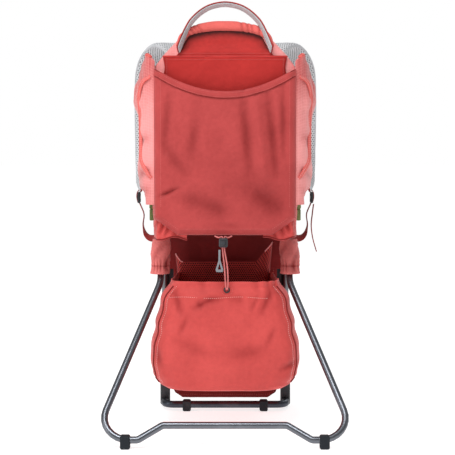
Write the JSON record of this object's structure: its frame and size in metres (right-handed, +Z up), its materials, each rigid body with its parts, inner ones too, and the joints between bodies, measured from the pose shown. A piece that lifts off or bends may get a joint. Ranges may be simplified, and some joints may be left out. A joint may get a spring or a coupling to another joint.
{
  "type": "child carrier backpack",
  "caption": "Framed child carrier backpack with padded cockpit, storage bag below, hip belt and a fold-out tubular kickstand",
  "frame": {"origin": "on the floor, under the middle of the whole carrier's box", "axes": "+Z up, +Y towards the wearer, X across the wearer's back, the kickstand opens towards -Y"},
  "size_m": [0.4306, 0.5847, 0.7848],
  "materials": {
    "stand_tube": "satin bare aluminium",
    "base_tube_metal": "dark satin coat",
    "frame_tube": "satin",
    "pin_steel": "brushed",
    "black_plastic": "fine texture",
    "foot_rubber": "matte",
    "olive_plastic": "satin",
    "plate_plastic": "matte",
    "coral_cloth": "coated plain weave",
    "deep_red_cloth": "coated plain weave",
    "pale_coral_cloth": "light ripstop",
    "maroon_cloth": "lining",
    "maroon_mesh": "open mesh",
    "grey_mesh": "spacer mesh",
    "belt_cloth": "spacer mesh and cloth",
    "red_webbing": "ribbed webbing",
    "grey_webbing": "ribbed webbing",
    "pink_cord": "braided cord",
    "grey_rubber": "matte"
  },
  "bodies": {
    "carrier": {"main_frame": "frame_tube", "base_tube": "base_tube_metal", "base_joint_left": "black_plastic", "base_joint_right": "black_plastic", "base_foot_left": "foot_rubber", "base_foot_right": "foot_rubber", "pivot_bracket_left": "black_plastic", "pivot_bracket_right": "black_plastic", "pivot_pin_left": "pin_steel", "pivot_pin_right": "pin_steel", "seat_crossbar": "frame_tube", "back_plate": "plate_plastic", "lower_back_panel": "maroon_cloth", "rear_wall": "pale_coral_cloth", "rear_pocket": "coral_cloth", "inner_panel": "deep_red_cloth", "headrest": "pale_coral_cloth", "side_wall_left": "pale_coral_cloth", "side_wall_right": "pale_coral_cloth", "storage_bag": "coral_cloth", "mesh_pocket": "maroon_mesh", "cord_lock": "black_plastic", "drawcord": "pink_cord", "side_left_socket": "olive_plastic", "side_right_socket": "olive_plastic", "harness_strap_left": "grey_webbing", "harness_socket": "black_plastic", "back_pad_left": "grey_mesh", "back_pad_right": "grey_mesh", "hip_belt": "belt_cloth", "hip_webbing_left": "red_webbing", "hip_webbing_right": "red_webbing", "hip_socket": "black_plastic", "shoulder_strap_left": "pale_coral_cloth", "shoulder_strap_right": "pale_coral_cloth", "ladder_lock_left": "black_plastic", "ladder_lock_right": "black_plastic", "lower_webbing_left": "red_webbing", "lower_webbing_right": "red_webbing", "strap_tail": "red_webbing"},
    "kickstand": {"kickstand": "stand_tube", "kickstand_foot_left": "foot_rubber", "kickstand_foot_right": "foot_rubber", "stand_sleeve_left": "pale_coral_cloth", "stand_sleeve_right": "pale_coral_cloth"},
    "seat": {"seat": "deep_red_cloth"},
    "grab_handle": {"grab_handle": "grey_webbing"},
    "cord_lock_button": {"cord_lock_button": "grey_rubber"},
    "pull_tab": {"pull_tab": "grey_rubber"},
    "side_left_clip": {"side_left_clip": "olive_plastic"},
    "side_right_clip": {"side_right_clip": "olive_plastic"},
    "hip_clip": {"hip_clip": "black_plastic"},
    "sternum_strap": {"sternum_webbing_left": "red_webbing", "sternum_webbing_right": "red_webbing", "sternum_socket": "black_plastic"},
    "sternum_clip": {"sternum_clip": "black_plastic"},
    "harness_right": {"harness_strap_right": "grey_webbing", "harness_clip": "black_plastic"}
  },
  "joints": [
    {"name": "kickstand_fold", "type": "hinge", "parent": "carrier", "child": "kickstand", "pos_m": [0, 0.0277, 0.36], "axis": [1, 0, 0], "range_deg": [0, 36]},
    {"name": "seat_height", "type": "slide", "parent": "carrier", "child": "seat", "axis": [0, 0, 1], "range_m": [0, 0.045]},
    {"name": "grab_handle_flop", "type": "hinge", "parent": "carrier", "child": "grab_handle", "pos_m": [0, -0.1242, 0.701], "axis": [1, 0, 0], "range_deg": [0, 75], "stiffness_Nm_per_rad": 0.08},
    {"name": "cord_lock_press", "type": "slide", "parent": "carrier", "child": "cord_lock_button", "axis": [0, 1, 0], "range_m": [0, 0.0025], "stiffness_N_per_m": 150},
    {"name": "pull_tab_swing", "type": "hinge", "parent": "carrier", "child": "pull_tab", "pos_m": [-0.01, -0.1583, 0.33], "axis": [1, 0, 0], "range_deg": [-60, 0]},
    {"name": "side_left_release", "type": "slide", "parent": "carrier", "child": "side_left_clip", "axis": [0, 0, -1], "range_m": [0, 0.018]},
    {"name": "side_right_release", "type": "slide", "parent": "carrier", "child": "side_right_clip", "axis": [0, 0, -1], "range_m": [0, 0.018]},
    {"name": "hip_release", "type": "slide", "parent": "carrier", "child": "hip_clip", "axis": [1, 0, 0], "range_m": [0, 0.018]},
    {"name": "sternum_height", "type": "slide", "parent": "carrier", "child": "sternum_strap", "axis": [0, 0, 1], "range_m": [-0.02, 0.02]},
    {"name": "sternum_release", "type": "slide", "parent": "sternum_strap", "child": "sternum_clip", "axis": [1, 0, 0], "range_m": [0, 0.018]},
    {"name": "harness_release", "type": "slide", "parent": "carrier", "child": "harness_right", "axis": [1, 0, 0], "range_m": [0, 0.018]}
  ]
}
